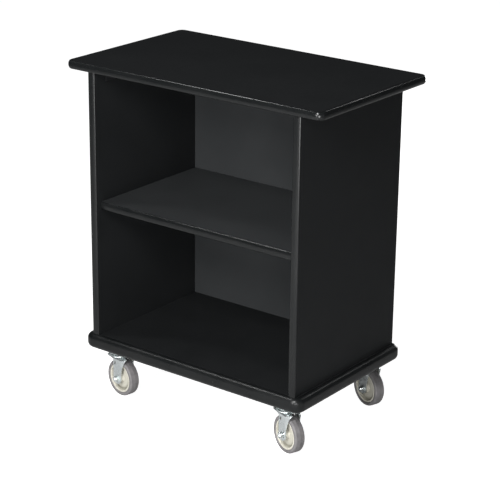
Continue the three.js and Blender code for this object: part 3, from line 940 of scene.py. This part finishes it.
def fork_rows(trail, axle_height):
    """Rows across the sheet's middle surface, from one leg's tip over the crown to the other's:
    (y, z, rear edge, front edge)."""
    half = FORK_INNER_HALF + SHEET / 2
    bend = FORK_BEND - SHEET / 2
    bend_start = FORK_CROWN_TOP - SHEET / 2 - bend
    tips = [math.sin(math.radians(turn)) for turn in (82, 72, 60, 48, 36, 24, 12)]
    heights = [axle_height - LEG_END_RADIUS * tip for tip in tips]
    heights += [axle_height + (FRONT_SHOULDER - axle_height) * step / 8 for step in range(9)]
    heights += [FRONT_SHOULDER + (bend_start - FRONT_SHOULDER) * step / 9 for step in range(1, 9)]
    rows = [(-half, z, *leg_edges(trail, axle_height, z)) for z in heights]
    for step in range(9):
        turn = math.radians(90 * step / 8)
        z = bend_start + bend * math.sin(turn)
        rows.append((-half + bend - bend * math.cos(turn), z, *leg_edges(trail, axle_height, z)))
    for turn in (88, 80, 70, 60, 48, 36, 24, 12):
        y = -BAY_RADIUS * math.sin(math.radians(turn))
        front = CROWN_FRONT - BAY_RADIUS * math.cos(math.radians(turn))
        rows.append((y, bend_start + bend, CROWN_BACK, front))
    middle = (0, bend_start + bend, CROWN_BACK, CROWN_FRONT - BAY_RADIUS)
    mirrored = [(-y, z, rear, front) for y, z, rear, front in reversed(rows)]
    return [*rows, middle, *mirrored]


def fork_sheet(trail, axle_height):
    """The fork's middle surface, which narrows beyond a soft fold along its front."""
    made = bmesh.new()
    half = FORK_INNER_HALF + SHEET / 2
    fold = trail + FOLD_BEHIND_AXLE
    grid = []
    for y, z, rear, front in fork_rows(trail, axle_height):
        flat_end = min(fold, rear + 0.8 * (front - rear))
        places = [rear + (flat_end - rear) * step / 10 for step in range(11)]
        places += [flat_end + (front - flat_end) * step / 6 for step in range(1, 7)]
        line = []
        for x in places:
            beyond = max(x - fold, 0)
            lean = FOLD_LEAN * beyond ** 2 / (beyond + FOLD_SOFTNESS)
            line.append(made.verts.new((x, y * (1 - lean / half), z)))
        grid.append(line)
    for row, following in zip(grid, grid[1:]):
        for i in range(len(row) - 1):
            made.faces.new((row[i], row[i + 1], following[i + 1], following[i]))
    return made


def shaped(mesh, cutter, *modifiers):
    """A mesh with modifiers applied, given as (kind, options); a boolean takes the cutter away."""
    carrier = new_object(mesh.name, mesh)
    helper = new_object("cutter", cutter)
    for kind, options in modifiers:
        modifier = carrier.modifiers.new(kind.lower(), kind)
        if kind == "BOOLEAN":
            modifier.object = helper
        for option, value in options.items():
            setattr(modifier, option, value)
    made = finished_mesh(carrier)
    bpy.data.objects.remove(helper)
    return made


def fork_cutter(trail, axle_height):
    """What is punched out of the fork: a hole for the kingpin, two for the axle, and two slots."""
    low, high = FORK_CROWN_TOP - 0.01, FORK_CROWN_TOP + 0.01
    made = spun([(0, low), (KINGPIN_HOLE, low), (KINGPIN_HOLE, high), (0, high)])
    across = spun([(0, -CUT_HALF), (AXLE_HOLE, -CUT_HALF), (AXLE_HOLE, CUT_HALF), (0, CUT_HALF)])
    place = Matrix.Translation((trail, 0, axle_height)) @ Matrix.Rotation(math.radians(90), 4, "X")
    made.from_mesh(to_mesh(across, "axle_holes", place))
    outline = (arc(0, SLOT_REACH, SLOT_RADIUS, 0, 180, 12)
               + arc(0, -SLOT_REACH, SLOT_RADIUS, 180, 360, 12))
    slot_x, slot_z = trail - SLOT_BEFORE_AXLE, axle_height + SLOT_ABOVE_AXLE
    stations = [(Vector((slot_x, y, slot_z)), Vector((1, 0, 0)), Vector((0, 0, 1)))
                for y in (-CUT_HALF, CUT_HALF)]
    made.from_mesh(to_mesh(sweep(outline, stations), "slots"))
    return to_mesh(made, "fork_holes")


for corner in CORNERS:
    trail, axle_height = trail_of(corner)
    body = shaped(
        to_mesh(fork_sheet(trail, axle_height), "fork_sheet", sharp=180),
        fork_cutter(trail, axle_height),
        ("SOLIDIFY", {"thickness": SHEET, "offset": 0.0, "use_even_offset": True}),
        ("BOOLEAN", {"operation": "DIFFERENCE", "solver": "EXACT"}),
        ("BEVEL", {"width": SHEET_EDGE, "segments": 2, "limit_method": "ANGLE",
                   "angle_limit": math.radians(50)}),
    )
    made = bmesh.new()
    made.from_mesh(body)
    spun([(radius, FORK_CROWN_TOP + rise) for radius, rise in FORK_RACE], made)
    add_metal(made, f"pressed_fork_{corner}", swivel_matrix(corner), f"swivel_{corner}",
              f"fork_{corner}", sharp=30)


# --------------------------------------
# Axle bolts, nuts and bushings: a hexagon-head bolt through both legs, clamped by a nut on the
# outer side, and a flanged steel bushing that the wheel turns on. All zinc plated.

CLEARANCE = 0.0002
AXLE_RADIUS = 0.005
HEX_HALF = 0.008
HEX_ROUNDED = HEX_HALF * 1.02
HEX_FACE = HEX_ROUNDED * 0.94
HEX_SHARP = 28
CHAMFER_EDGE = 0.0003
CHAMFER_DEPTH = 0.0011
HEAD_HEIGHT = 0.0064
NUT_HEIGHT = 0.008
NUT_SEAT = FORK_INNER_HALF + SHEET + CLEARANCE
BEYOND_NUT = 0.0025
THREAD_PITCH = 0.0015
THREAD_EDGE = 0.0006
THREAD_ROOT = AXLE_RADIUS * 0.9
THREAD_TIP = AXLE_RADIUS * 0.92
BUSHING_RADIUS = 0.0074
FLANGE_RADIUS = 0.015
FLANGE_THICKNESS = 0.0015
BUSHING_EDGE = 0.0003
FLANGE_EDGE_DEPTH = 0.0005
FLANGE_EDGE_WIDTH = 0.0006

BRIGHT_TONES = ((0.80, 0.84, 0.84), (0.90, 0.93, 0.92))
bright_zinc = zinc_finish("bright_zinc_plate", BRIGHT_TONES, (0.14, 0.24))


def hexagon_loops(low, high, chamfer_low, chamfer_high):
    """A hexagon block's loops from low to high, with turned chamfers where asked."""
    loops = []
    if chamfer_low:
        loops += [(HEX_FACE, low), (HEX_ROUNDED, low + CHAMFER_EDGE)]
    loops.append((HEX_HALF, low + CHAMFER_DEPTH * chamfer_low, 6))
    loops.append((HEX_HALF, high - CHAMFER_DEPTH * chamfer_high, 6))
    if chamfer_high:
        loops += [(HEX_ROUNDED, high - CHAMFER_EDGE), (HEX_FACE, high)]
    return loops


def threaded(low, high):
    """Loops of a thread's crests and roots between two heights."""
    loops = []
    for turn in range(int((high - low) / THREAD_PITCH)):
        loops.append((AXLE_RADIUS, low + THREAD_PITCH * turn))
        loops.append((THREAD_ROOT, low + THREAD_PITCH * (turn + 0.5)))
    return loops


for corner in CORNERS:
    end = NUT_SEAT + NUT_HEIGHT + BEYOND_NUT
    bolt = spun([
        (0, -NUT_SEAT - HEAD_HEIGHT),
        *hexagon_loops(-NUT_SEAT - HEAD_HEIGHT, -NUT_SEAT, True, False),
        (AXLE_RADIUS, -NUT_SEAT),
        *threaded(NUT_SEAT, end - THREAD_EDGE),
        (THREAD_TIP, end),
        (0, end),
    ])
    inside = AXLE_RADIUS + CLEARANCE
    nut_top = NUT_SEAT + NUT_HEIGHT
    nut = spun([
        (inside, NUT_SEAT),
        *hexagon_loops(NUT_SEAT, nut_top, True, True),
        (inside + THREAD_EDGE, nut_top),
        (inside, nut_top - THREAD_EDGE),
        (inside, NUT_SEAT),
    ])
    half = FORK_INNER_HALF - CLEARANCE
    bore = AXLE_RADIUS + 2 * CLEARANCE
    flange = half - FLANGE_THICKNESS
    bushing = spun([
        (bore, -half),
        (BUSHING_RADIUS - BUSHING_EDGE, -half),
        (BUSHING_RADIUS, -half + BUSHING_EDGE),
        (BUSHING_RADIUS, flange),
        (FLANGE_RADIUS - BUSHING_EDGE, flange),
        (FLANGE_RADIUS, flange + BUSHING_EDGE),
        (FLANGE_RADIUS, half - FLANGE_EDGE_DEPTH),
        (FLANGE_RADIUS - FLANGE_EDGE_WIDTH, half),
        (bore, half),
        (bore, -half),
    ])
    for made, name, node, sharp in (
        (bolt, "hex_bolt", "axle_bolt", HEX_SHARP),
        (nut, "hex_nut", "axle_nut", HEX_SHARP),
        (bushing, "flanged_bushing", "axle_bushing", SMOOTH_UP_TO),
    ):
        add_metal(made, f"{name}_{corner}", axle_matrix(corner), f"swivel_{corner}",
                  f"{node}_{corner}", bright_zinc, sharp)


# --------------------------------------
# Wheel cores: moulded in beige polyolefin, with a raised rim, a groove inside it, a dished web
# and a long hub. They turn on the bushings.

WHEEL_RADIUS = 0.0508
CORE_RADIUS = 0.041
CORE_HALF = 0.013
HUB_HALF = 0.0175
HUB_RADIUS = 0.012
GROOVE_DEPTH = 0.008
CORE_FACE = (
    (0.0001, 0.0012),
    (0.0006, 0.0002),
    (0.0016, 0),
    (0.0040, 0),
    (0.0047, 0.0006),
    (0.0052, 0.0030),
    (0.0060, 0.0066),
    (0.0074, GROOVE_DEPTH),
    (0.0098, GROOVE_DEPTH),
    (0.0125, 0.0058),
    (0.0165, 0.0046),
)


def core_finish():
    """Beige plastic, with painted shade in patches where the surface lies back in the groove and
    the web.
    """
    finish = moulded_finish(
        "beige_wheel_core",
        sizes=(0.0016, 0.018),
        tones=((0.43, 0.41, 0.345), (0.56, 0.545, 0.48)),
        roughness=(0.36, 0.5),
        relief=0.00004,
        marks=(0.02, 0.35, (0.16, 0.15, 0.13)),
    )
    tree = finish.node_tree
    base_colour = tree.nodes["Principled BSDF"].inputs["Base Color"]
    mottle = place_group(tree, moulded_grain, {"Mottle Size": 0.018}).outputs["Mottle"]
    painted_shade_depth = add_node(tree, "ShaderNodeAttribute", attribute_name="painted_shade_depth").outputs["Fac"]
    # Painted shade: the groove and the web darken in patches the deeper they lie behind the face.
    painted_groove_shade = arithmetic(tree, "MULTIPLY", painted_shade_depth, spread(tree, mottle, 0.65, 1.0))
    clean = base_colour.links[0].from_socket
    tree.links.new(mix_colours(tree, painted_groove_shade, clean, (0.17, 0.165, 0.13)), base_colour)
    return finish


def mark_painted_groove_shade(mesh, matrix, face_height, deepest):
    """Stores how far each point lies behind the wheel's face, from 0 to 1, for the painted shade.
    """
    attribute = mesh.attributes.new("painted_shade_depth", "FLOAT", "POINT")
    back_home = matrix.inverted()
    for item, vertex in zip(attribute.data, mesh.vertices):
        depth = (face_height - abs((back_home @ vertex.co).z)) / deepest
        item.value = min(max(depth, 0.0), 1.0) ** 2


def both_sides(half_loops):
    """A ring's loops from those of its +Z side, outermost first: mirrored, then closed."""
    mirrored = [(radius, -height) for radius, height in reversed(half_loops)]
    return mirrored + half_loops + [mirrored[0]]


beige_core = core_finish()
for corner in CORNERS:
    bore = BUSHING_RADIUS + 2 * CLEARANCE
    half_loops = [(CORE_RADIUS - inward, CORE_HALF - back) for inward, back in CORE_FACE]
    half_loops += [
        (HUB_RADIUS + 0.0060, CORE_HALF - 0.0050),
        (HUB_RADIUS + 0.0026, CORE_HALF - 0.0044),
        (HUB_RADIUS + 0.0010, CORE_HALF - 0.0016),
        (HUB_RADIUS, HUB_HALF - 0.0008),
        (HUB_RADIUS - 0.0006, HUB_HALF),
        (bore + 0.0004, HUB_HALF),
        (bore, HUB_HALF - 0.0004),
    ]
    core = to_mesh(spun(both_sides(half_loops)), f"moulded_core_{corner}", axle_matrix(corner))
    mark_painted_groove_shade(core, axle_matrix(corner), CORE_HALF, GROOVE_DEPTH)
    add_piece(core, beige_core, f"wheel_{corner}", "wheel_core", f"wheel_core_{corner}")


# --------------------------------------
# Tyres: grey thermoplastic rubber moulded onto the cores, non-marking, with round shoulders and a
# fine parting line round the middle of the tread.

TYRE_HALF = 0.015
TYRE_SHOULDER = 0.0058

grey_tyre = moulded_finish(
    "grey_tyre_rubber",
    sizes=(0.0011, 0.014),
    tones=((0.115, 0.110, 0.112), (0.165, 0.158, 0.160)),
    roughness=(0.48, 0.66),
    relief=0.00008,
    specular=0.45,
    marks=(0.015, 0.8, (0.27, 0.25, 0.235)),
)
for corner in CORNERS:
    tread = arc(WHEEL_RADIUS - TYRE_SHOULDER, TYRE_HALF - TYRE_SHOULDER, TYRE_SHOULDER, 0, 78, 9)
    half_loops = [
        (WHEEL_RADIUS + 0.0001, 0.0003),
        (WHEEL_RADIUS - 0.00005, 0.0007),
        *tread,
        (CORE_RADIUS + 0.0022, TYRE_HALF - 0.0003),
        (CORE_RADIUS + 0.0012, TYRE_HALF - 0.0007),
        (CORE_RADIUS + 0.0004, TYRE_HALF - 0.0018),
        (CORE_RADIUS + 0.0001, TYRE_HALF - 0.0026),
    ]
    add_piece(to_mesh(spun(both_sides(half_loops)), f"moulded_tyre_{corner}", axle_matrix(corner)),
              grey_tyre, f"wheel_{corner}", "tyre", f"tyre_{corner}")


# --------------------------------------
# Studio: a plain pale floor, a pale surround and soft area lights, with the camera above the
# right front corner and a slight roll.

FLOOR_HALF = 30.0
floor = bmesh.new()
floor.faces.new([floor.verts.new((x * FLOOR_HALF, y * FLOOR_HALF, 0))
                 for x, y in ((-1, -1), (1, -1), (1, 1), (-1, 1))])
floor_object = new_object("studio_floor", to_mesh(floor, "studio_floor"))
floor_finish, tree, shader = new_finish("pale_floor", specular=0.1)
shader.inputs["Roughness"].default_value = 0.8
shader.inputs["Base Color"].default_value = (0.55, 0.55, 0.55, 1.0)
shader.inputs["Emission Strength"].default_value = 1.0
seen = add_node(tree, "ShaderNodeLightPath").outputs["Is Camera Ray"]
glow = mix_colours(tree, seen, (0.0, 0.0, 0.0), (0.95, 0.95, 0.95))
tree.links.new(glow, shader.inputs["Emission Color"])
beneath = add_node(tree, "ShaderNodeNewGeometry").outputs["Backfacing"]
tree.links.new(arithmetic(tree, "SUBTRACT", 1.0, beneath), shader.inputs["Alpha"])
floor_object.data.materials.append(floor_finish)

world = bpy.data.worlds.new("pale_surround")
bpy.context.scene.world = world
world.use_nodes = True
tree = world.node_tree
seen = add_node(tree, "ShaderNodeLightPath").outputs["Is Camera Ray"]
surround = mix_colours(tree, seen, (0.060, 0.063, 0.066), (1.0, 1.0, 1.0))
tree.links.new(surround, tree.nodes["Background"].inputs["Color"])

SOFTBOXES = {
    "key_softbox": ((0.6, -2.2, 2.2), 0.9, 85),
    "fill_softbox": ((0.3, -2.8, 0.9), 0.9, 42),
    "front_softbox": ((1.8, -2.3, 0.4), 0.9, 42),
    "side_softbox": ((3.4, -0.4, 1.0), 1.4, 3),
    "edge_softbox": ((-2.0, -1.2, 3.7), 0.55, 34),
    "rear_softbox": ((-0.3, 3.4, 0.45), 0.9, 40),
    "rim_softbox": ((1.0, 2.7, 2.9), 0.4, 6),
}
cart_middle = (cad_box[0] + cad_box[1]) / 2
for name, (place, size, watts) in SOFTBOXES.items():
    lamp = bpy.data.lights.new(name, "AREA")
    lamp.shape = "SQUARE"
    lamp.size = size
    lamp.energy = watts
    softbox = new_object(name, lamp)
    softbox.location = place
    softbox.visible_camera = False
    softbox.rotation_mode = "QUATERNION"
    softbox.rotation_quaternion = (cart_middle - Vector(place)).to_track_quat("-Z", "Y")

CAMERA_AZIMUTH = math.radians(36.94)
CAMERA_ELEVATION = math.radians(19.957)
CAMERA_ROLL = math.radians(0.7278)
CAMERA_DISTANCE = 4.603
CAMERA_AIM = Vector((0.0147, 0.0110, 0.4220))
CAMERA_LENS = 126.108
back = Vector((math.sin(CAMERA_AZIMUTH) * math.cos(CAMERA_ELEVATION),
               -math.cos(CAMERA_AZIMUTH) * math.cos(CAMERA_ELEVATION),
               math.sin(CAMERA_ELEVATION)))
level = Vector((math.cos(CAMERA_AZIMUTH), math.sin(CAMERA_AZIMUTH), 0))
upright = back.cross(level)
right = level * math.cos(CAMERA_ROLL) + upright * math.sin(CAMERA_ROLL)
camera_data = bpy.data.cameras.new("studio_camera")
camera_data.lens = CAMERA_LENS
camera_data.sensor_width = 36.0
camera = new_object("studio_camera", camera_data)
camera.matrix_world = Matrix((right, back.cross(right), back)).transposed().to_4x4()
camera.location = CAMERA_AIM + back * CAMERA_DISTANCE
bpy.context.scene.camera = camera
bpy.context.scene.view_settings.view_transform = "Standard"
